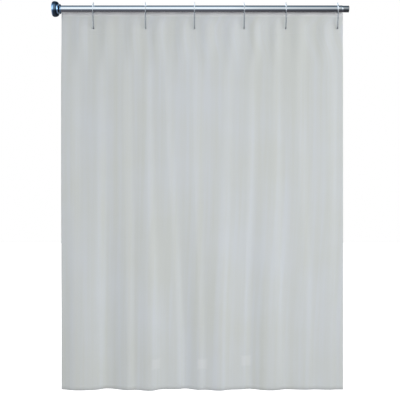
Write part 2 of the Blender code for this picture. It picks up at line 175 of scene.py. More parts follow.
BRIGHTEST = 5.2  # a ramp holds 0 to 1, so it is scaled by this
STUDIO_STRENGTH = 1.05


def fill_ramp(ramp, stops):
    """Gives a colour ramp its stops, in place of the two that it starts with."""
    ramp.interpolation = "EASE"
    while len(ramp.elements) > 1:
        ramp.elements.remove(ramp.elements[-1])
    for place, colour in stops:
        ramp.elements.new(place).color = colour
    ramp.elements.remove(ramp.elements[0])


def build_world():
    """Bright panels for mirror rays, even light for matt surfaces, white for the camera."""
    world = bpy.data.worlds.new("studio")
    bpy.context.scene.world = world
    world.use_nodes = True
    tree = world.node_tree
    tree.nodes.clear()
    look = add(tree, "ShaderNodeTexCoord")
    parts = add(tree, "ShaderNodeSeparateXYZ", {0: look.outputs["Generated"]})
    forward = add(tree, "ShaderNodeMath", {0: parts.outputs["Y"], 1: -1.0}, operation="MULTIPLY")
    angle = add(tree, "ShaderNodeMath", {0: parts.outputs["Z"], 1: forward.outputs[0]},
                operation="ARCTAN2")
    turn = add(tree, "ShaderNodeMapRange", {
        "Value": angle.outputs[0], "From Min": -pi / 2, "From Max": 3 * pi / 2})
    wrapped = add(tree, "ShaderNodeMath", {0: turn.outputs[0], 1: 1.0}, operation="FRACT")
    bands = add(tree, "ShaderNodeValToRGB", {"Fac": wrapped.outputs[0]})
    fill_ramp(bands.color_ramp, [(place, linear(colour)) for place, colour in PANEL_STOPS])
    across = add(tree, "ShaderNodeMapRange", {
        "Value": parts.outputs["X"], "From Min": -1.0, "From Max": 1.0})
    sides = add(tree, "ShaderNodeValToRGB", {"Fac": across.outputs[0]})
    fill_ramp(sides.color_ramp, [((x + 1) / 2, (v / BRIGHTEST,) * 3 + (1.0,))
                                 for x, v in SIDE_STOPS])
    level = add(tree, "ShaderNodeMath", {
        0: sides.outputs[0], 1: BRIGHTEST * STUDIO_STRENGTH}, operation="MULTIPLY")
    studio = add(tree, "ShaderNodeBackground", {
        "Color": bands.outputs[0], "Strength": level.outputs[0]})
    white = add(tree, "ShaderNodeBackground", {"Color": linear("#FFFFFF"), "Strength": 1.0})
    ray = add(tree, "ShaderNodeLightPath")
    softbox = add(tree, "ShaderNodeBackground", {"Color": linear("#FFFFFF"), "Strength": AMBIENT})
    seen = add(tree, "ShaderNodeMixShader", {
        0: ray.outputs["Is Glossy Ray"], 1: softbox.outputs[0], 2: studio.outputs[0]})
    mixed = add(tree, "ShaderNodeMixShader", {
        0: ray.outputs["Is Camera Ray"], 1: seen.outputs[0], 2: white.outputs[0]})
    add(tree, "ShaderNodeOutputWorld", {"Surface": mixed.outputs[0]})


build_world()


def build_floor():
    """A plain pale floor, a little below the hem."""
    z = cad_low.z - FLOOR_DROP
    mesh = bpy.data.meshes.new("floor")
    corners = [(VIEW_CENTRE_X + FLOOR_HALF * i, FLOOR_HALF * j, z) for i, j in
               ((-1, -1), (1, -1), (1, 1), (-1, 1))]
    mesh.from_pydata(corners, [], [(0, 1, 2, 3)])
    floor = in_scene("floor", mesh)
    paint, _, shader = finish_named("studio_floor_paint", "#FBFBFB", 0.9)
    shader.inputs["Specular IOR Level"].default_value = 0.1
    shader.inputs["Emission Color"].default_value = linear("#FFFFFF")
    shader.inputs["Emission Strength"].default_value = 0.85
    mesh.materials.append(paint)
    floor.visible_glossy = False
    floor.visible_diffuse = False
    floor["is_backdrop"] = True


build_floor()

# %% [markdown]
# Three large soft lamps light the film. The key stands in front, high and to the right,
# so that the folds turn their right flanks to it. The fill stands low in front, where it
# reaches the film right under the rod, and the third lamp is behind. They are hidden
# from mirror reflections, which the world already gives.

# %% Lamps
CURTAIN_MIDDLE = Vector((VIEW_CENTRE_X, 0.0, VIEW_CENTRE_Z))


def soft_lamp(name, place, size, watts):
    """A square white lamp that points at the middle of the curtain."""
    lamp = in_scene(name, bpy.data.lights.new(name, "AREA"))
    lamp.data.shape = "SQUARE"
    lamp.data.size = size
    lamp.data.energy = watts
    lamp.location = place
    aim = CURTAIN_MIDDLE - Vector(place)
    lamp.rotation_euler = aim.to_track_quat("-Z", "Y").to_euler()
    lamp.visible_glossy = False
    lamp.visible_camera = False


soft_lamp("key", (3.6, -2.2, 0.2), 1.6, 25)
soft_lamp("fill", (0.9, -3.0, -1.4), 2.0, 29)
soft_lamp("back", (0.7, 3.0, 1.4), 2.4, 34)

# %% [markdown]
# ## Finishes
#
# ** Frosted film.** The liner is PEVA, calendered through a fine embossed roller: a matt,
# slightly cloudy sheet. Light spreads inside it, so it gets a little subsurface light,
# and the emboss is a fine pebble bump. Where two layers are welded it looks denser, and
# the welded top edge, just under the rod, is painted almost white: painted light that
# lifts the rod's shade off the film.
#
# **Chrome plate** is nickel and chromium on a drawn steel tube: colour close to neutral
# with a blue cast, almost no roughness, and faint lines along the tube from polishing.

# %% Metal finishes
WIPE_LINE = 0.0004  # spacing of the polishing lines, in metres
LINE_COARSE = 6  # they are drawn this much coarser, so that they show
LINE_LENGTH = 0.5  # how far one line runs along the tube


def chrome_plate(name, colour, roughness):
    """Polished plate: its gloss varies a little in lines along the rod."""
    made, tree, shader = finish_named(name, colour, roughness, 1.0)
    place = add(tree, "ShaderNodeTexCoord")
    stretch = add(tree, "ShaderNodeMapping", {
        "Vector": place.outputs["Object"],
        "Scale": (1 / LINE_LENGTH, 1 / WIPE_LINE / LINE_COARSE, 1 / WIPE_LINE / LINE_COARSE)})
    lines = add(tree, "ShaderNodeTexNoise", {
        "Vector": stretch.outputs[0], "Scale": 1.0, "Detail": 2.0, "Roughness": 0.6})
    cloud = add(tree, "ShaderNodeTexNoise", {
        "Vector": place.outputs["Object"], "Scale": 14.0, "Detail": 3.0})
    mix = add(tree, "ShaderNodeMath", {0: lines.outputs["Fac"], 1: cloud.outputs["Fac"]},
              operation="MULTIPLY")
    gloss = add(tree, "ShaderNodeMapRange", {
        "Value": mix.outputs[0], "From Min": 0.1, "From Max": 0.5,
        "To Min": roughness * 0.7, "To Max": roughness * 1.5})
    tree.links.new(gloss.outputs[0], shader.inputs["Roughness"])
    bump = add(tree, "ShaderNodeBump", {
        "Height": lines.outputs["Fac"], "Strength": 0.05, "Distance": 0.00005})
    tree.links.new(bump.outputs[0], shader.inputs["Normal"])
    return made


ROD_CHROME = chrome_plate("chrome_plated_steel_tube", "#EFF6FB", 0.07)
FLANGE_CHROME = chrome_plate("chrome_plated_pressed_flange", "#6C869F", 0.06)

# %% Wire finishes
LEG_SHADE_BELOW, ARCH_HIGHLIGHT_ABOVE = -0.012, 0.016  # heights between which a hook's colour turns from painted shade on the legs to a painted highlight on the arch
ARCH_ROUGHNESS_ADDED = 0.30  # roughness added on the arch, where the painted highlight is


def drawn_wire(name, colour, roughness, leg_shade_colour=None):
    """Drawn wire; with a second colour, the legs get painted shade and only the arch above the
    rod keeps the bright colour, as a painted highlight.
    """
    made, tree, shader = finish_named(name, colour, roughness, 1.0)
    place = add(tree, "ShaderNodeTexCoord")
    if leg_shade_colour:
        parts = add(tree, "ShaderNodeSeparateXYZ", {0: place.outputs["Object"]})
        arch_highlight_share = add(tree, "ShaderNodeMapRange", {
            "Value": parts.outputs["Z"], "From Min": LEG_SHADE_BELOW, "From Max": ARCH_HIGHLIGHT_ABOVE})
        # painted shade on the legs, and a painted highlight on the arch above the rod
        tone = add(tree, "ShaderNodeMix", {
            "Factor": arch_highlight_share.outputs[0], 6: linear(leg_shade_colour), 7: linear(colour)}, data_type="RGBA")
        tree.links.new(tone.outputs[2], shader.inputs["Base Color"])
    grain = add(tree, "ShaderNodeTexNoise", {
        "Vector": place.outputs["Object"], "Scale": 900.0, "Detail": 2.0})
    gloss = add(tree, "ShaderNodeMapRange", {
        "Value": grain.outputs["Fac"], "To Min": roughness * 0.7, "To Max": roughness * 1.4})
    if leg_shade_colour:  # the arch with the painted highlight is given a rougher finish as well
        gloss = add(tree, "ShaderNodeMath", {
            0: arch_highlight_share.outputs[0], 1: ARCH_ROUGHNESS_ADDED, 2: gloss.outputs[0]}, operation="MULTIPLY_ADD")
    tree.links.new(gloss.outputs[0], shader.inputs["Roughness"])
    bump = add(tree, "ShaderNodeBump", {
        "Height": grain.outputs["Fac"], "Strength": 0.15, "Distance": 0.0001})
    tree.links.new(bump.outputs[0], shader.inputs["Normal"])
    return made


# the hooks' legs are painted darker as painted shade, and the arch over the rod lighter as a
# painted highlight
HOOK_WIRE = drawn_wire("nickel_plated_drawn_wire", "#F2F3F4", 0.30, "#75787B")
SPRING_WIRE = drawn_wire("oiled_spring_steel_wire", "#6E6F72", 0.35)


# %% Moulded finishes
def moulded(name, colour, roughness, pebble, depth, **sockets):
    """Moulded plastic or rubber with a fine spark-eroded grain, pebble metres across."""
    made, tree, shader = finish_named(name, colour, roughness, **sockets)
    place = add(tree, "ShaderNodeTexCoord")
    grain = add(tree, "ShaderNodeTexVoronoi", {
        "Vector": place.outputs["Object"], "Scale": 1 / pebble})
    cloud = add(tree, "ShaderNodeTexNoise", {
        "Vector": place.outputs["Object"], "Scale": 40.0, "Detail": 3.0})
    tint = add(tree, "ShaderNodeMapRange", {
        "Value": cloud.outputs["Fac"], "To Min": 0.94, "To Max": 1.05})
    grey = add(tree, "ShaderNodeCombineColor", {i: tint.outputs[0] for i in range(3)})
    cloudy = add(tree, "ShaderNodeMix", {
        "Factor": 1.0, 6: linear(colour), 7: grey.outputs[0]},
        data_type="RGBA", blend_type="MULTIPLY")
    tree.links.new(cloudy.outputs[2], shader.inputs["Base Color"])
    bump = add(tree, "ShaderNodeBump", {
        "Height": grain.outputs["Distance"], "Strength": 0.3, "Distance": depth})
    tree.links.new(bump.outputs[0], shader.inputs["Normal"])
    return made


FOOT_RUBBER = moulded("moulded_grey_rubber", "#3A3B3D", 0.72, 0.0009, 0.00008)
BLACK_MOULDING = moulded("black_moulded_acetal", "#232427", 0.42, 0.0007, 0.00004)
NYLON = moulded("natural_moulded_nylon", "#DAD7CC", 0.45, 0.0008, 0.00004)
EYELET_PLASTIC = moulded("cloudy_moulded_eyelet", "#D6DBDE", 0.40, 0.0012, 0.00002)
MAGNET_RUBBER = moulded("white_faced_magnet_rubber", "#D9DADB", 0.6, 0.0008, 0.00005)

# %% [markdown]
# ## Turned pieces
#
# The tubes, the flange, the collar, the feet and the eyelets are all round, so one
# function spins a profile about an axis. Sharp corners would look cut from card, so the
# profile's corners are first eased with a short curve, as plating and moulding leave them.


# %% Spin a profile
def eased(points, ease, closed, steps=3):
    """The profile with each corner replaced by a short curve."""
    out = []
    count = len(points)
    for i, point in enumerate(points):
        here = Vector(point)
        if not closed and i in (0, count - 1):
            out.append(here)
            continue
        before = Vector(points[i - 1]) - here
        after = Vector(points[(i + 1) % count]) - here
        reach = min(ease, before.length * 0.45, after.length * 0.45)
        straight = before.normalized().dot(after.normalized()) < -0.985
        if straight or reach < 1e-7:
            out.append(here)
            continue
        start = here + before.normalized() * reach
        stop = here + after.normalized() * reach
        for k in range(steps + 1):
            t = k / steps
            out.append(start * (1 - t) ** 2 + here * 2 * t * (1 - t) + stop * t * t)
    return [(p[0], p[1]) for p in out]


def new_piece(name, mesh, material):
    """A mesh as a finished piece at the origin."""
    made = in_scene(name, mesh)
    mesh.materials.clear()
    mesh.materials.append(material)
    return made


def spun(profile, closed, steps, axis=(1, 0, 0), centre=(0, 0, 0)):
    """A turned mesh: (along, radius) pairs spun about an axis through centre."""
    along, side = Vector(axis), Vector((0, 0, 1))
    shape = bmesh.new()
    points = [shape.verts.new(along * a + side * r) for a, r in profile]
    pairs = list(zip(points, points[1:])) + ([(points[-1], points[0])] if closed else [])
    edges = [shape.edges.new(pair) for pair in pairs]
    bmesh.ops.spin(shape, geom=points + edges, cent=(0, 0, 0), axis=along,
                   angle=2 * pi, steps=steps, use_duplicate=False)
    bmesh.ops.remove_doubles(shape, verts=shape.verts, dist=1e-6)
    bmesh.ops.recalc_face_normals(shape, faces=shape.faces)
    bmesh.ops.translate(shape, verts=shape.verts, vec=centre)
    mesh = bpy.data.meshes.new("turned")
    shape.to_mesh(mesh)
    shape.free()
    mesh.shade_smooth()
    mesh.set_sharp_from_angle(angle=radians(50))
    return mesh


# %% Place a piece on its body
def turned_piece(name, node, profile, material, slot, ease, steps, closed=True):
    """A turned piece about the rod's axis that stands for one CAD node."""
    mesh = spun(eased(profile, ease, closed), closed, steps)
    piece = new_piece(name, mesh, material)
    place_piece(piece, BODY_OF[node], slot, node)
    print(name, len(mesh.polygons), "faces")


def place_piece(piece, body, slot, *nodes):
    """The piece rides its body and hides the CAD nodes that it stands for; slot is not used."""
    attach(piece, body)
    if nodes:
        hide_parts(*nodes)


def groove(face, top, width, ease, depth):
    """The corners of a shallow ring groove in an end face, from its outer edge inwards."""
    return [(face, top), (face + depth, top - ease), (face + depth, top - width + ease),
            (face, top - width)]


BODY_OF = {node: body for body, nodes in frame["record"]["behaviour"]["bodies"].items()
           for node in nodes}

# %% [markdown]
# ## The rod
#
# A tension rod is two thin chromed tubes, one inside the other. The wider one ends in a
# rolled mouth, which is what makes the small step near the right wall. The mouth is
# turned in a little, and a rubber plug closes the inner tube.

# %% Tubes
tube_low, tube_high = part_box("outer_tube")
inner_low, inner_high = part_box("inner_tube")
TUBE_R = tube_high.z
INNER_R = inner_high.z
TUBE_WALL = 0.0009
INNER_WALL = 0.0008
MOUTH_ROLL = 0.0035  # length of the mouth that is rolled in
MOUTH_START, MOUTH_IN = 0.00015, 0.0006  # how far in it is midway and at its end

bore = TUBE_R - TUBE_WALL
turned_piece("rod_outer_tube", "outer_tube", [
    (tube_low.x, bore), (tube_low.x, TUBE_R),
    (tube_high.x - MOUTH_ROLL, TUBE_R),
    (tube_high.x - MOUTH_ROLL * 0.4, TUBE_R - MOUTH_START),
    (tube_high.x, TUBE_R - MOUTH_IN), (tube_high.x, bore),
], ROD_CHROME, "rod_chrome", ease=0.0003, steps=128)
turned_piece("rod_inner_tube", "inner_tube", [
    (inner_low.x, INNER_R - INNER_WALL), (inner_low.x, INNER_R),
    (inner_high.x, INNER_R), (inner_high.x, INNER_R - INNER_WALL),
], ROD_CHROME, "rod_chrome", ease=0.0003, steps=128)

# %% Rubber plug in the right end
plug_low, plug_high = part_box("right_foot")
PLUG_GAP = 0.0003  # between the plug and the tube that it sits in
PLUG_GROOVES = (0.0125, 0.0070)  # outer radius of each groove
GROOVE_WIDTH, GROOVE_EASE, GROOVE_DEPTH = 0.0025, 0.0005, 0.0009
plug_r = INNER_R - INNER_WALL - PLUG_GAP
shoulder = inner_high.x + PLUG_GAP
face = plug_high.x
plug_face = [corner for top in PLUG_GROOVES
             for corner in groove(face, top, GROOVE_WIDTH, GROOVE_EASE, -GROOVE_DEPTH)]
turned_piece("right_end_plug", "right_foot", [
    (plug_low.x, 0), (plug_low.x, plug_r), (shoulder, plug_r), (shoulder, INNER_R),
    (face, INNER_R), *plug_face, (face, 0),
], FOOT_RUBBER, "foot_rubber", ease=0.0003, closed=False, steps=72)

# %% [markdown]
# ## The left end
#
# The flange is a pressed and plated cup. It bellies out next to the wall, then draws in
# to a neck. A dark gap follows, where the sprung shaft shows, and then the bright collar
# that holds the tube's end. The rounded belly is one quarter of an ellipse.

# %% Flange
flange_low, flange_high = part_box("end_flange")
collar_low, collar_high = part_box("tube_collar")
_, plunger_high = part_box("foot_plunger")
_, pad_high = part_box("foot_pad")
FLANGE_R = flange_high.z
FLANGE_WALL = 0.0015
RIM_R = 0.0300  # at the wall
NECK_R = 0.0255  # at the other end
BELLY_X = 0.0125  # where it is widest
SHAFT_R = 0.0160
SHAFT_GAP = 0.0006  # round the shaft, in the flange and in the collar
ARC_STEPS = 16


def belly(shrink):
    """The flange's outline from rim to neck, moved in by a wall."""
    turns = [pi / 2 * i / ARC_STEPS for i in range(ARC_STEPS + 1)]
    rise = BELLY_X - flange_low.x
    fall = flange_high.x - shrink - BELLY_X
    left = [(BELLY_X - rise * cos(t), RIM_R - shrink + (FLANGE_R - RIM_R) * sin(t))
            for t in turns]
    right = [(BELLY_X + fall * sin(t), NECK_R - shrink + (FLANGE_R - NECK_R) * cos(t))
             for t in turns[1:]]
    return left + right


turned_piece("end_flange_cup", "end_flange",
             belly(0.0) + [(flange_high.x, SHAFT_R + SHAFT_GAP),
                           (flange_high.x - FLANGE_WALL, SHAFT_R + SHAFT_GAP)]
             + belly(FLANGE_WALL)[::-1],
             FLANGE_CHROME, "flange_chrome", ease=0.0009, steps=128)

# %% Collar, shaft and pad
COLLAR_R = collar_high.z
COLLAR_WALL = 0.0014
COLLAR_FRONT = 0.0022  # bevel towards the wall
COLLAR_RUN, COLLAR_FALL = 0.0030, 0.0042  # length and drop of the slope to the tube
TUBE_GAP = 0.0003
turned_piece("tube_end_collar", "tube_collar", [
    (collar_low.x, SHAFT_R + SHAFT_GAP), (collar_low.x, COLLAR_R - COLLAR_FRONT),
    (collar_low.x + COLLAR_FRONT, COLLAR_R), (collar_high.x - COLLAR_RUN, COLLAR_R),
    (collar_high.x, COLLAR_R - COLLAR_FALL), (collar_high.x, TUBE_R + TUBE_GAP),
    (collar_low.x + COLLAR_WALL, TUBE_R + TUBE_GAP),
    (collar_low.x + COLLAR_WALL, SHAFT_R + SHAFT_GAP),
], FLANGE_CHROME, "flange_chrome", ease=0.0014, steps=128)

DISC_R = plunger_high.z
DISC_THICK = 0.004
CONE_R, CONE_END = 0.0190, 0.010  # the disc narrows to the shaft over a short cone
NOSE_R, NOSE_LENGTH = 0.0085, 0.0150  # the nose that keeps the spring straight
shaft_end = plunger_high.x - NOSE_LENGTH
disc_back = pad_high.x + 0.0003
turned_piece("sprung_shaft", "foot_plunger", [
    (disc_back, 0), (disc_back, DISC_R), (disc_back + DISC_THICK, DISC_R),
    (disc_back + DISC_THICK, CONE_R), (disc_back + CONE_END, SHAFT_R), (shaft_end, SHAFT_R),
    (shaft_end, NOSE_R), (plunger_high.x, NOSE_R), (plunger_high.x, 0),
], BLACK_MOULDING, "black_moulding", ease=0.0006, closed=False, steps=72)

PAD_GROOVES = (0.024, 0.018, 0.012)
PAD_GROOVE_WIDTH, PAD_GROOVE_EASE, PAD_GROOVE_DEPTH = 0.0024, 0.0006, 0.0008
pad_face = [(pad_high.x, 0), (pad_high.x, pad_high.z), (0.0, pad_high.z)]
for top in PAD_GROOVES:
    pad_face += groove(0.0, top, PAD_GROOVE_WIDTH, PAD_GROOVE_EASE, PAD_GROOVE_DEPTH)
turned_piece("wall_pad", "foot_pad", (pad_face + [(0.0, 0)])[::-1],
             FOOT_RUBBER, "foot_rubber", ease=0.0003, closed=False, steps=96)

# %% [markdown]
# ## Spring
#
# A compression spring is a circle swept along a helix, which Geometry Nodes have ready
# as a spiral curve. The tree has named inputs for the wire, the coil and the length.
# The two ends are ground flat on a real one; here they simply end against their seats.


# %% Geometry node helpers
def node_tree(name, floats, whole=()):
    """An empty tree: geometry in and out, named number inputs and a finish input."""
    tree = bpy.data.node_groups.new(name, "GeometryNodeTree")
    tree.interface.new_socket("Geometry", in_out="INPUT", socket_type="NodeSocketGeometry")
    for labels, kind in ((floats, "NodeSocketFloat"), (whole, "NodeSocketInt")):
        for label in labels:
            tree.interface.new_socket(label, in_out="INPUT", socket_type=kind)
    tree.interface.new_socket("Finish", in_out="INPUT", socket_type="NodeSocketMaterial")
    tree.interface.new_socket("Geometry", in_out="OUTPUT", socket_type="NodeSocketGeometry")
    return tree


def close_tree(tree, geometry, finish):
    """Ends a tree with real geometry, smooth shading and its finish."""
    real = add(tree, "GeometryNodeRealizeInstances", {"Geometry": geometry})
    smooth = add(tree, "GeometryNodeSetShadeSmooth", {0: real.outputs[0]})
    painted = add(tree, "GeometryNodeSetMaterial", {
        "Geometry": smooth.outputs[0], "Material": finish})
    add(tree, "NodeGroupOutput", {0: painted.outputs[0]})


def hardened(holder, change):
    """The object's shape with a modifier applied, as a plain mesh."""
    bpy.context.view_layer.update()
    evaluated = holder.evaluated_get(bpy.context.evaluated_depsgraph_get())
    mesh = bpy.data.meshes.new_from_object(evaluated)
    holder.modifiers.remove(change)
    return mesh


def grown(name, base, tree, values, material):
    """Runs a tree on a base mesh and returns the result as a plain piece."""
    holder = in_scene(name + "_base", base)
    change = holder.modifiers.new("grow", "NODES")
    change.node_group = tree
    for item in tree.interface.items_tree:
        if item.in_out == "INPUT" and item.name in values:
            change[item.identifier] = values[item.name]
        if item.in_out == "INPUT" and item.name == "Finish":
            change[item.identifier] = material
    mesh = hardened(holder, change)
    bpy.data.objects.remove(holder)
    print(name, len(mesh.polygons), "faces")
    return new_piece(name, mesh, material)


# %% Spring
spring_low, spring_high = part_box("tension_spring")
SPRING_WIRE_R = 0.0011
SPRING_TURNS = 10


def spring_tree():
    """A round wire swept along a helix, laid along the rod."""
    tree = node_tree("helical_spring", ["Wire radius", "Coil radius", "Length", "Turns"])
    given = add(tree, "NodeGroupInput")
    helix = add(tree, "GeometryNodeCurveSpiral", {
        "Resolution": 40, "Rotations": given.outputs["Turns"],
        "Start Radius": given.outputs["Coil radius"],
        "End Radius": given.outputs["Coil radius"], "Height": given.outputs["Length"]})
    round_wire = add(tree, "GeometryNodeCurvePrimitiveCircle", {
        "Resolution": 12, "Radius": given.outputs["Wire radius"]})
    swept = add(tree, "GeometryNodeCurveToMesh", {
        "Curve": helix.outputs[0], "Profile Curve": round_wire.outputs[0], "Fill Caps": True})
    laid = add(tree, "GeometryNodeTransform", {
        "Geometry": swept.outputs[0],
        "Translation": (spring_low.x + SPRING_WIRE_R, 0, 0)})
    laid.inputs["Rotation"].default_value = (0, pi / 2, 0)
    close_tree(tree, laid.outputs[0], given.outputs["Finish"])
    return tree


spring = grown("tension_spring_coil", bpy.data.meshes.new("spring_seed"), spring_tree(), {
    "Wire radius": SPRING_WIRE_R, "Coil radius": spring_high.z - SPRING_WIRE_R,
    "Length": spring_high.x - spring_low.x - 2 * SPRING_WIRE_R,
    "Turns": float(SPRING_TURNS)}, SPRING_WIRE)
place_piece(spring, "wall_foot", "spring_steel", "tension_spring")
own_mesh(spring)

# %% [markdown]
# ## Hidden lock pieces
#
# The bush, the cam lobe, its spigot and the spring's seat sit inside the tube. Their
# solids already have the right shape, so they stay and only take their finish.

# %% Hidden pieces
HIDDEN = {"spring_seat": BLACK_MOULDING, "cam_spigot": BLACK_MOULDING,
          "cam_lobe": NYLON, "guide_bush": NYLON}
for node, material in HIDDEN.items():
    mesh = frame["nodes"][node].data
    mesh.materials.clear()
    mesh.materials.append(material)
    print(node, "keeps its solid")

# %% [markdown]
# ## Hooks
#
# Each hook is one length of plated wire. It is bent to a pointed arch that straddles the
# rod, runs down in front of the film, turns through the eyelet and comes back up behind,
# where its two ends lie side by side. The wire is a circle swept along that path, so a
# node tree makes it, with the wire's radius as an input. The ends are rounded over.

# %% Hook path
hook_low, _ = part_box("hook_1")
sheet_low, sheet_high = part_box("curtain_sheet")
HOOK_WIRE_R = 0.0025
WIRE_GAP = 0.0003
HOOK_FLANK = radians(35)
HOOK_APEX_R = 0.0076
HOOK_LOOP_R = 0.0075
LAP_LOW = 0.044  # the two ends lie side by side between these depths
LAP_TOP = 0.032
LAP_JOG_ABOVE, LAP_JOG_BELOW = 0.006, 0.010  # lengths over which they part
SHEET_HALF = 0.0002  # half the thickness of the CAD film
EYELET_Y = sheet_high.y - SHEET_HALF
HOOK_DROP = -hook_low.z - HOOK_WIRE_R


def arc(centre, radius, start, stop, count):
    """Points on an arc in the plane across the rod."""
    turns = [start + (stop - start) * i / count for i in range(count + 1)]
    return [Vector((0, centre[0] + radius * cos(t), centre[1] + radius * sin(t)))
            for t in turns]


def hook_path():
    """The wire's middle line, from its upper end to its lower one, both at the back."""
    seat = TUBE_R + WIRE_GAP + HOOK_WIRE_R
    apex_z = (seat - HOOK_APEX_R) / sin(HOOK_FLANK)
    gap = Vector((-EYELET_Y, HOOK_DROP - HOOK_LOOP_R))
    heading = atan2(gap.y, gap.x)
    lean = acos((HOOK_LOOP_R - seat) / gap.length)
    front, back = heading + lean, heading - lean
    loop = (EYELET_Y, HOOK_LOOP_R - HOOK_DROP)
    over = arc((0, 0), seat, back, HOOK_FLANK, 8)
    over += arc((0, apex_z), HOOK_APEX_R, HOOK_FLANK, pi - HOOK_FLANK, 14)
    over += arc((0, 0), seat, pi - HOOK_FLANK, front, 12)
    loop_line = arc(loop, HOOK_LOOP_R, front, back + 2 * pi, 22)
    top, foot = over[0], loop_line[-1]
    along = (foot - top).normalized()
    beside = HOOK_WIRE_R + WIRE_GAP / 2

    def on_leg(depth, shift):
        point = top + along * ((top.z + depth) / -along.z)
        return Vector((shift, point.y, point.z))

    upper = [on_leg(LAP_LOW - (LAP_LOW - LAP_TOP) * i / 4, -beside) for i in range(5)]
    upper += [on_leg(LAP_TOP - LAP_JOG_ABOVE * i / 3, -beside * (1 - i / 3)) for i in (1, 2)]
    lower = [on_leg(LAP_LOW + LAP_JOG_BELOW * i / 3, beside * (1 - i / 3)) for i in (2, 1)]
    lower += [on_leg(LAP_LOW - (LAP_LOW - LAP_TOP) * i / 4, beside) for i in range(5)]
    return upper + over + loop_line + lower


def rounded_tips(points):
    """The path with short extra steps at both ends, and the wire's radius at each point."""
    def tip(end, inner):
        away = (end - inner).normalized() * HOOK_WIRE_R * 0.9
        return [(end + away * t, sqrt(max(0.02, 1 - t * t)))
                for t in (1.0, 0.85, 0.6, 0.3)]

    first = tip(points[0], points[1])
    last = tip(points[-1], points[-2])[::-1]
    return first + [(p, 1.0) for p in points] + last


def wire_tree():
    """A round wire swept along a chain of edges, as thick as its taper says."""
    tree = node_tree("wire_on_a_path", ["Wire radius"], whole=["Sides"])
    given = add(tree, "NodeGroupInput")
    line = add(tree, "GeometryNodeMeshToCurve", {"Mesh": given.outputs["Geometry"]})
    taper = add(tree, "GeometryNodeInputNamedAttribute", {"Name": "taper"}, data_type="FLOAT")
    round_wire = add(tree, "GeometryNodeCurvePrimitiveCircle", {
        "Resolution": given.outputs["Sides"], "Radius": given.outputs["Wire radius"]})
    swept = add(tree, "GeometryNodeCurveToMesh", {
        "Curve": line.outputs[0], "Profile Curve": round_wire.outputs[0],
        "Scale": taper.outputs[0], "Fill Caps": True})
    close_tree(tree, swept.outputs[0], given.outputs["Finish"])
    return tree


# %% Bend the six hooks
HOOK_COUNT = 6
WIRE_TREE = wire_tree()


def path_mesh(name, points):
    """A chain of edges through (point, taper) pairs."""
    mesh = bpy.data.meshes.new(name)
    mesh.from_pydata([p for p, _ in points], [(i, i + 1) for i in range(len(points) - 1)], [])
    taper = mesh.attributes.new("taper", "FLOAT", "POINT")
    for slot, (_, size) in zip(taper.data, points):
        slot.value = size
    return mesh


hook_x = []
for i in range(1, HOOK_COUNT + 1):
    low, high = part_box(f"hook_{i}")
    middle = (low.x + high.x) / 2
    hook_x.append(middle)
    line = [(point + Vector((middle, 0, 0)), size) for point, size in rounded_tips(hook_path())]
    hook = grown(f"curtain_hook_{i}", path_mesh("hook_path", line), WIRE_TREE,
                 {"Wire radius": HOOK_WIRE_R, "Sides": 16}, HOOK_WIRE)
    place_piece(hook, BODY_OF[f"hook_{i}"], "hook_wire", f"hook_{i}")
print("hooks at", [round(x, 3) for x in hook_x])

# %% [markdown]
# ## Eyelets
#
# Six moulded rings are pressed through the header, one for each hook. Each has a barrel
# through the film and a rim on both sides, with a shallow groove round the front rim.
# They are moulded from the film's own material, so they hardly show against it.

# %% Eyelets
EYELET_RIM = 0.0012  # thickness of a rim
RIM_TO_HOLE, RIM_TO_BARREL = 0.0035, 0.0022
RIM_EDGE = 0.0003  # bevel at a rim's outer edge, and the groove's depth
RIM_FACE = 0.0006  # how far in a rim's flat face starts
HOLE_EDGE, HOLE_FACE = 0.0005, 0.0008  # depth and width of the bevel round the hole
GROOVE_OUT, GROOVE_MIDDLE, GROOVE_IN = 0.0020, 0.0016, 0.0010  # beyond the hole's edge
eyelets = []
for i in range(1, HOOK_COUNT + 1):
    low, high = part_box(f"eyelet_{i}")
    middle = (low + high) / 2
    half = (high.y - low.y) / 2
    rim = (high.x - low.x) / 2
    hole, barrel = rim - RIM_TO_HOLE, rim - RIM_TO_BARREL
    ring = [
        (-half + EYELET_RIM, barrel), (-half + EYELET_RIM, rim), (-half + RIM_EDGE, rim),
        (-half, rim - RIM_FACE), (-half, hole + GROOVE_OUT),
        (-half + RIM_EDGE, hole + GROOVE_MIDDLE), (-half, hole + GROOVE_IN),
        (-half + HOLE_EDGE, hole), (half - HOLE_EDGE, hole), (half, hole + HOLE_FACE),
        (half, rim - RIM_FACE), (half - RIM_EDGE, rim), (half - EYELET_RIM, rim),
        (half - EYELET_RIM, barrel),
    ]
    mesh = spun(eased(ring, RIM_EDGE, True), True, 40, axis=(0, 1, 0), centre=middle)
    piece = new_piece(f"header_eyelet_{i}", mesh, EYELET_PLASTIC)
    place_piece(piece, BODY_OF[f"eyelet_{i}"], "eyelet_plastic", f"eyelet_{i}")
    eyelets.append(middle)
EYELET_Z = eyelets[0].z
print("eyelets at", [round(p.x, 3) for p in eyelets])

# %% [markdown]
# ## The film's folds
#
# In the header a liner bulges forward once between each pair of eyelets, and is flat
# where an eyelet grips it. Lower down the folds wander sideways. Each one comes forward
# slowly from the left and steps back at a ridge, so the rule below is a row of ridges
# with a step back at each. Long waves lie under them, because nothing holds the hem.
# A rule like this keeps the folds exact and quick, where a cloth simulation of such
# stiff film would mostly add noise.

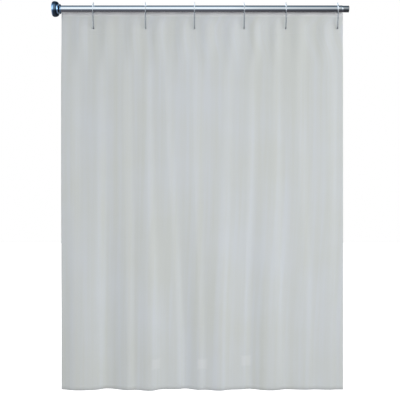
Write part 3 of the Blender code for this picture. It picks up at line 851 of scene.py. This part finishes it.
# %% Fold rule
SHEET_X0, SHEET_X1 = sheet_low.x, sheet_high.x
SHEET_BOTTOM = sheet_low.z
SHEET_HEIGHT = sheet_high.z - SHEET_BOTTOM
FILM_TOP = -0.0165  # close under the rod, and just behind it
HEADER_BULGE = 0.0130  # forward, between two valleys
TOP_BULGE_SHARE = 0.12  # what is left of it at the top edge
BULGE_DEPTH = 0.07  # it is full from this far below the top edge
HELD_TO, FREE_FROM = 0.10, 0.32  # between these depths the header gives way to free folds
WANDER_FROM = 0.15  # below this the ridges start to wander sideways
RIPPLE = 0.0010  # small unevenness of the film
FLAT_HALF = 0.013  # flat film each side of a valley
FOLD_MIDDLE = EYELET_Y - 0.008  # where the free folds lie, on average
# each ridge: place below the header, place at the hem, step below the header and at the hem
RIDGES = (
    (-0.03, -0.03, 0.000, 0.000), (0.120, 0.116, 0.012, 0.007), (0.244, 0.240, 0.012, 0.017),
    (0.368, 0.386, 0.011, 0.019), (0.470, 0.506, 0.009, 0.019), (0.560, 0.628, 0.008, 0.018),
    (0.704, 0.728, 0.011, 0.014), (0.865, 0.835, 0.011, 0.008), (0.979, 0.945, 0.011, 0.015),
    (1.096, 1.108, 0.013, 0.013), (1.205, 1.258, 0.012, 0.008), (1.370, 1.366, 0.014, 0.007),
    (1.490, 1.490, 0.000, 0.000),
)
# long waves at the hem: place across, and how far towards the back
SWAY = ((0.0419, 0.008), (0.135, -0.016), (0.261, 0.016), (0.446, -0.016), (0.621, 0.016),
        (0.806, -0.016), (0.942, 0.014), (1.035, -0.010), (1.160, 0.002), (1.4157, 0.000))
# the header's valleys: at each hook, halfway between two hooks and left of the first
FIRST_VALLEY = 0.1316
between_hooks = [hook_x[0] - FIRST_VALLEY] + [(a + b) / 2 for a, b in zip(hook_x, hook_x[1:])]
VALLEYS = [x for pair in zip(between_hooks, hook_x) for x in pair]


def smooth(t):
    """A soft step from 0 to 1."""
    t = min(1.0, max(0.0, t))
    return t * t * (3 - 2 * t)


def long_wave(x):
    """How far back the hem sways at a place across the film."""
    for (x0, y0), (x1, y1) in zip(SWAY, SWAY[1:]):
        if x <= x1:
            return y0 + (y1 - y0) * smooth((x - x0) / (x1 - x0))
    return SWAY[-1][1]


def ridge_lines(depth):
    """Place and step of every ridge at a depth below the film's top."""
    share = smooth((depth - WANDER_FROM) / (SHEET_HEIGHT - WANDER_FROM))
    return share, [(a + (b - a) * share, c + (d - c) * share) for a, b, c, d in RIDGES]


def header_bulge(x, depth):
    """How far back the film is where the eyelets hold it."""
    full = smooth(depth / BULGE_DEPTH)
    size = HEADER_BULGE * (TOP_BULGE_SHARE + (1 - TOP_BULGE_SHARE) * full)
    for left, right in zip(VALLEYS, VALLEYS[1:]):
        start, stop = left + FLAT_HALF, right - FLAT_HALF
        if start < x < stop:
            turn = 2 * pi * (x - start) / (stop - start)
            return EYELET_Y - size * (1 - cos(turn)) / 2
    return EYELET_Y


def free_fold(x, depth, ridges):
    """The folds below the header: a step back at each ridge, a slow return between."""
    share, lines = ridges
    narrow = 0.22 - 0.06 * share  # half the step's width, as a share of one fold
    for (left, step), (right, next_step) in zip(lines, lines[1:]):
        if x <= right:
            break
    t = (x - left) / (right - left)
    back = step * (smooth((t + narrow) / (2 * narrow)) - 0.5)
    back += next_step * smooth((t - 1 + narrow) / (2 * narrow))
    slow = (1 - 0.5 * share) * t + 0.5 * share * smooth((t - 0.25) / 0.5)
    ripple = RIPPLE * noise.noise((x * 11.0, depth * 1.7, 0.0))
    drift = long_wave(x) * smooth((share - 0.15) / 0.85)
    return FOLD_MIDDLE + back - (step + next_step) / 2 * slow + drift + ripple


def fold_y(x, depth, ridges):
    """How far back the film is at a place across it and a depth below its top."""
    free = smooth((depth - HELD_TO) / (FREE_FROM - HELD_TO))
    held = header_bulge(x, depth) if free < 1 else 0.0
    return held * (1 - free) + free * free_fold(x, depth, ridges)


# %% [markdown]
# ## Film and its welded layers
#
# The film is a grid of faces on that rule, closer together round the eyelets. Faces
# inside a hole are taken out, and the hole's edge is drawn to a true circle. Each point
# also keeps its place on the flat sheet as a UV in metres, so a pattern on the film
# follows the folds. The header, the hem and the pockets are the same rule, set back.

# %% Film grid
HOLE_R = 0.0052  # hole in the film, round the eyelet's barrel
COLUMN_STEP = 0.0058
ROW_STEP = 0.020
NEAR_STEP = 0.0016  # spacing of the close lines round an eyelet
NEAR_EYELET = [NEAR_STEP * i for i in range(-5, 6)]
PROBE = 0.001  # reach to both sides for measuring the film's slope


def spread(low, high, step, centres):
    """Grid lines from low to high, with close ones about each centre."""
    count = round((high - low) / step)
    lines = [low + (high - low) * i / count for i in range(count + 1)]
    reach = NEAR_EYELET[-1] + step * 0.4
    lines = [v for i, v in enumerate(lines)
             if i in (0, count) or all(abs(v - c) > reach for c in centres)]
    lines += [c + near for c in centres for near in NEAR_EYELET if low < c + near < high]
    return sorted(lines)


def film_layer(name, columns, rows, lift, thickness, material, holes=()):
    """A layer on the fold rule, lifted towards the back by a number or by a rule."""
    mesh = bpy.data.meshes.new(name)
    shape = bmesh.new()
    uv = shape.loops.layers.uv.new("flat_sheet")
    grid, flat = [], {}
    for z in rows:
        depth = FILM_TOP - z
        lines = ridge_lines(depth)
        run, last, row = 0.0, None, []
        for x in columns:
            y = fold_y(x, depth, lines)
            ahead, astern = (fold_y(x + reach, depth, lines) for reach in (PROBE, -PROBE))
            slope = (ahead - astern) / (2 * PROBE)
            scale = (lift(x, z) if callable(lift) else lift) / hypot(slope, 1.0)
            vert = shape.verts.new((x - slope * scale, y + scale, z))
            run += hypot(x - last[0], y - last[1]) if last else 0.0
            last = (x, y)
            flat[vert] = (run, z - SHEET_BOTTOM)
            row.append(vert)
        grid.append(row)
    for lower, upper in zip(grid, grid[1:]):
        for i in range(len(columns) - 1):
            corners = (lower[i], lower[i + 1], upper[i + 1], upper[i])
            middle = sum((v.co for v in corners), Vector()) / 4
            if any(hypot(middle.x - h.x, middle.z - h.z) < HOLE_R for h in holes):
                continue
            made = shape.faces.new(corners)
            for loop in made.loops:
                loop[uv].uv = flat[loop.vert]
    loose = [v for v in shape.verts if not v.link_faces]
    bmesh.ops.delete(shape, geom=loose, context="VERTS")
    for vert in shape.verts:
        for h in holes:
            away = Vector((vert.co.x - h.x, vert.co.z - h.z))
            if vert.is_boundary and away.length < HOLE_R * 1.5:
                away = away.normalized() * HOLE_R
                vert.co.x, vert.co.z = h.x + away.x, h.z + away.y
    shape.to_mesh(mesh)
    shape.free()
    mesh.shade_smooth()
    piece = new_piece(name, mesh, material)
    skin = piece.modifiers.new("film_thickness", "SOLIDIFY")
    skin.thickness = thickness
    skin.offset = 0.0
    piece.data = hardened(piece, skin)
    print(name, len(piece.data.polygons), "faces")
    return piece


# %% Seams and masks on the flat sheet
HEADER_HEIGHT = 0.100
HEM_HEIGHT = 0.022
EMBOSS = 0.0011  # size of one pebble in the emboss
TOP_WELD_AND_PAINTED_LIGHT = 0.006  # the folded and welded top edge, also painted almost white as painted light over the rod's shade
TOP_PAINTED_LIGHT_FADE = 0.012  # below it the painted light fades out over this height
HEM_FADE, HEADER_FADE = 0.0015, 0.002
SEAM_SHOWS, POCKET_SHOWS = 0.03, 0.16  # how much of the dense colour a layer behind gives
POCKET_FADE = (0.028, 0.019)  # from a pocket's middle, where it starts and is full
STREAK = 0.035  # spacing of the streaks that the roller leaves
STREAK_LENGTH = 1.4  # and their length, in metres
MAGNET_COUNT = 3
pocket_boxes = [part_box(f"magnet_pocket_{i}") for i in range(1, MAGNET_COUNT + 1)]


def along_film(x, z):
    """Length of film from the left edge to a place across it, at one height."""
    depth = FILM_TOP - z
    ridges = ridge_lines(depth)
    steps = max(2, round((x - SHEET_X0) / COLUMN_STEP))
    points = [SHEET_X0 + (x - SHEET_X0) * i / steps for i in range(steps + 1)]
    backs = [fold_y(p, depth, ridges) for p in points]
    return sum(hypot(points[i + 1] - points[i], backs[i + 1] - backs[i])
               for i in range(steps))


def band(tree, value, start, full):
    """A mask that goes from 0 at start to 1 at full."""
    return add(tree, "ShaderNodeMapRange", {
        "Value": value, "From Min": start, "From Max": full}).outputs[0]


def strongest(tree, values):
    """The largest of several values at every place."""
    best = values[0]
    for value in values[1:]:
        best = add(tree, "ShaderNodeMath", {0: best, 1: value}, operation="MAXIMUM").outputs[0]
    return best


def distance_to(tree, value, centre):
    """How far a value is from a centre."""
    moved = add(tree, "ShaderNodeMath", {0: value, 1: centre}, operation="SUBTRACT")
    return add(tree, "ShaderNodeMath", {0: moved.outputs[0]}, operation="ABSOLUTE").outputs[0]


# %% Frosted film finish
def frosted_film(name, thin, dense_and_painted_light, with_magnets):
    """Embossed film: thin where it is single, denser where layers are welded, and painted almost
    white just under the rod, as painted light over the rod's shade.
    """
    made, tree, shader = finish_named(name, thin[0], 0.46, Subsurface_Weight=0.1,
                                      Subsurface_Scale=0.0006, IOR=1.49,
                                      Specular_IOR_Level=0.15)
    shader.inputs["Subsurface Radius"].default_value = (1.0, 1.0, 1.0)
    place = add(tree, "ShaderNodeUVMap", uv_map="flat_sheet")
    parts = add(tree, "ShaderNodeSeparateXYZ", {0: place.outputs[0]})
    across, up = parts.outputs["X"], parts.outputs["Y"]
    header = SHEET_HEIGHT - HEADER_HEIGHT
    seams = strongest(tree, [band(tree, up, HEM_HEIGHT + HEM_FADE, HEM_HEIGHT),
                             band(tree, up, header - HEADER_FADE, header)])
    faint = add(tree, "ShaderNodeMath", {0: seams, 1: SEAM_SHOWS}, operation="MULTIPLY")
    # the top band: the welded edge, and painted light that lifts the rod's shade off the film
    edge = SHEET_HEIGHT - TOP_WELD_AND_PAINTED_LIGHT
    layers = [faint.outputs[0], band(tree, up, edge - TOP_PAINTED_LIGHT_FADE, edge)]
    for low, high in pocket_boxes if with_magnets else ():
        middle = (low + high) / 2
        side = strongest(tree, [
            distance_to(tree, across, along_film(middle.x, middle.z)),
            distance_to(tree, up, middle.z - SHEET_BOTTOM)])
        patch = add(tree, "ShaderNodeMath", {
            0: band(tree, side, *POCKET_FADE), 1: POCKET_SHOWS}, operation="MULTIPLY")
        layers.append(patch.outputs[0])
    drawn = add(tree, "ShaderNodeMapping", {
        "Vector": place.outputs[0], "Scale": (1 / STREAK, 1 / STREAK_LENGTH, 1.0)})
    streak = add(tree, "ShaderNodeTexNoise", {
        "Vector": drawn.outputs[0], "Scale": 1.0, "Detail": 3.0, "Roughness": 0.55})
    cloud = add(tree, "ShaderNodeTexNoise", {
        "Vector": place.outputs[0], "Scale": 2.2, "Detail": 3.0, "Roughness": 0.5})
    uneven = add(tree, "ShaderNodeMath", {0: streak.outputs["Fac"], 1: cloud.outputs["Fac"]},
                 operation="ADD")
    tint = add(tree, "ShaderNodeMix", {
        "Factor": band(tree, uneven.outputs[0], 0.8, 1.2),
        6: linear(thin[0]), 7: linear(thin[1])}, data_type="RGBA")
    tone = add(tree, "ShaderNodeMix", {
        "Factor": strongest(tree, layers), 6: tint.outputs[2], 7: linear(dense_and_painted_light)},
        data_type="RGBA")
    tree.links.new(tone.outputs[2], shader.inputs["Base Color"])
    pebble = add(tree, "ShaderNodeTexVoronoi", {
        "Vector": place.outputs[0], "Scale": 1 / EMBOSS}, feature="SMOOTH_F1")
    bump = add(tree, "ShaderNodeBump", {
        "Height": pebble.outputs["Distance"], "Strength": 0.25, "Distance": 0.0001})
    tree.links.new(bump.outputs[0], shader.inputs["Normal"])
    return made


THIN_FILM = ("#D9DDDB", "#DDE2E6")  # warm and cool, from streak to streak
DENSE_FILM_AND_PAINTED_LIGHT = "#FDFEFF"  # where layers are welded together, and painted light at the top edge under the rod
FILM = frosted_film("embossed_frosted_peva_film", THIN_FILM, DENSE_FILM_AND_PAINTED_LIGHT, True)
BACKING = frosted_film("embossed_peva_backing", THIN_FILM, DENSE_FILM_AND_PAINTED_LIGHT, False)
BEAD_FINISH = moulded("smooth_welded_peva_bead", "#DCE0E1", 0.40, 0.0020, 0.00001)

# %% Lay the film
LAYER_LIFT = 0.0007  # how far behind the film a welded layer lies
FILM_THICK = 0.0003
LAYER_INSET = 0.001  # a layer starts this far from the film's edge
HEM_STEPS = 4
columns = spread(SHEET_X0, SHEET_X1, COLUMN_STEP, [p.x for p in eyelets])
rows = spread(SHEET_BOTTOM, FILM_TOP, ROW_STEP, [EYELET_Z])
film = film_layer("curtain_film", columns, rows, 0.0, FILM_THICK, FILM, eyelets)
header_low, header_top = FILM_TOP - HEADER_HEIGHT, FILM_TOP - LAYER_INSET
header_rows = [header_low, *(z for z in rows if header_low < z < header_top), header_top]
header = film_layer("header_layer", columns, header_rows, LAYER_LIFT, FILM_THICK, BACKING,
                    eyelets)
plain_columns = spread(SHEET_X0, SHEET_X1, COLUMN_STEP, [])
hem_rows = [SHEET_BOTTOM + LAYER_INSET + HEM_HEIGHT * i / HEM_STEPS
            for i in range(HEM_STEPS + 1)]
hem = film_layer("hem_layer", plain_columns, hem_rows, LAYER_LIFT, FILM_THICK, BACKING)

# %% [markdown]
# ## Magnets and pockets
#
# Three flat magnets hold the liner to the tub. Each sits behind the film in a square
# pocket, a patch of the same film that is welded down round its edge and rises over
# the magnet in the middle.

# %% Magnets and pockets
MAGNET_SIDE = 0.040
MAGNET_THICK = 0.0018
MAGNET_LIFT = 0.0014  # its middle, behind the film
PATCH_LIFT, PATCH_RISE = 0.0006, 0.0024  # the patch at its weld, and its rise over the magnet
WELD_BORDER = 0.0035  # the pocket's rim, outside the magnet
PATCH_STEPS = 24
magnets, pockets = [], []


def patch_lines(middle, side):
    """Evenly spaced grid lines across a square."""
    return [middle - side / 2 + side * i / PATCH_STEPS for i in range(PATCH_STEPS + 1)]


for i, (low, high) in enumerate(pocket_boxes, 1):
    middle = (low + high) / 2
    side = high.x - low.x

    def over_magnet(x, z, middle=middle, side=side):
        """The lift of the patch: welded at its edge, risen over the magnet."""
        edge = max(abs(x - middle.x), abs(z - middle.z))
        return PATCH_LIFT + PATCH_RISE * smooth((side / 2 - edge) / WELD_BORDER)

    magnets.append(film_layer(
        f"hem_magnet_{i}", patch_lines(middle.x, MAGNET_SIDE),
        patch_lines(middle.z, MAGNET_SIDE), MAGNET_LIFT, MAGNET_THICK, MAGNET_RUBBER))
    pockets.append(film_layer(
        f"magnet_pocket_patch_{i}", patch_lines(middle.x, side), patch_lines(middle.z, side),
        over_magnet, FILM_THICK, BACKING))

# %% [markdown]
# ## Weld beads
#
# A heat seal squeezes a fine bead of plastic out along its edge. There is one along the
# lower edge of the header, one along the top of the hem and one round each pocket. A bead
# follows the film's surface, so it is the same swept circle as the hooks, on a path that
# lies on the fold rule, and half of it is sunk in the film.

# %% Beads
BEAD_R = 0.0006
BEAD_SIDES = 6


def on_film(x, z):
    """A point on the front of the film."""
    depth = FILM_TOP - z
    return Vector((x, fold_y(x, depth, ridge_lines(depth)) - FILM_THICK / 2, z))


def bead(name, places):
    """A round bead along places on the film."""
    line = [(on_film(x, z), 1.0) for x, z in places]
    return grown(name, path_mesh("bead_path", line), WIRE_TREE,
                 {"Wire radius": BEAD_R, "Sides": BEAD_SIDES}, BEAD_FINISH)


inside = [x for x in plain_columns if SHEET_X0 + BEAD_R < x < SHEET_X1 - BEAD_R]
beads = [bead("hem_weld_bead", [(x, SHEET_BOTTOM + HEM_HEIGHT) for x in inside]),
         bead("header_weld_bead", [(x, header_low) for x in inside])]
for i, (low, high) in enumerate(pocket_boxes, 1):
    lines_x, lines_z = (patch_lines((a + b) / 2, high.x - low.x)
                        for a, b in ((low.x, high.x), (low.z, high.z)))
    ring = [(x, lines_z[0]) for x in lines_x] + [(lines_x[-1], z) for z in lines_z[1:]]
    ring += [(x, lines_z[-1]) for x in lines_x[-2::-1]]
    ring += [(lines_x[0], z) for z in lines_z[-2::-1]]
    beads.append(bead(f"pocket_weld_bead_{i}", ring))

# %% [markdown]
# ## Ride
#
# The film hangs on the body that swings about the rod, and so do its layers, the
# magnets, the pockets and the beads.

# %% Bodies
soft_pieces = [(film, "sheet_film", "curtain_sheet"), (header, "sheet_film", "header_band"),
               (hem, "sheet_film", "bottom_hem")]
for i, (magnet, pocket) in enumerate(zip(magnets, pockets), 1):
    soft_pieces.append((magnet, "magnet_rubber", f"magnet_{i}"))
    soft_pieces.append((pocket, "sheet_film", f"magnet_pocket_{i}"))
soft_pieces += [(line, "sheet_film", None) for line in beads]
for piece, slot, node in soft_pieces:
    place_piece(piece, "curtain", slot, *([node] if node else []))
    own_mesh(piece)
for piece in (film, header):
    piece.visible_glossy = False  # the rod's underside mirrors the dark room, not the film

# %% Measure the finished scene's box
low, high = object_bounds()
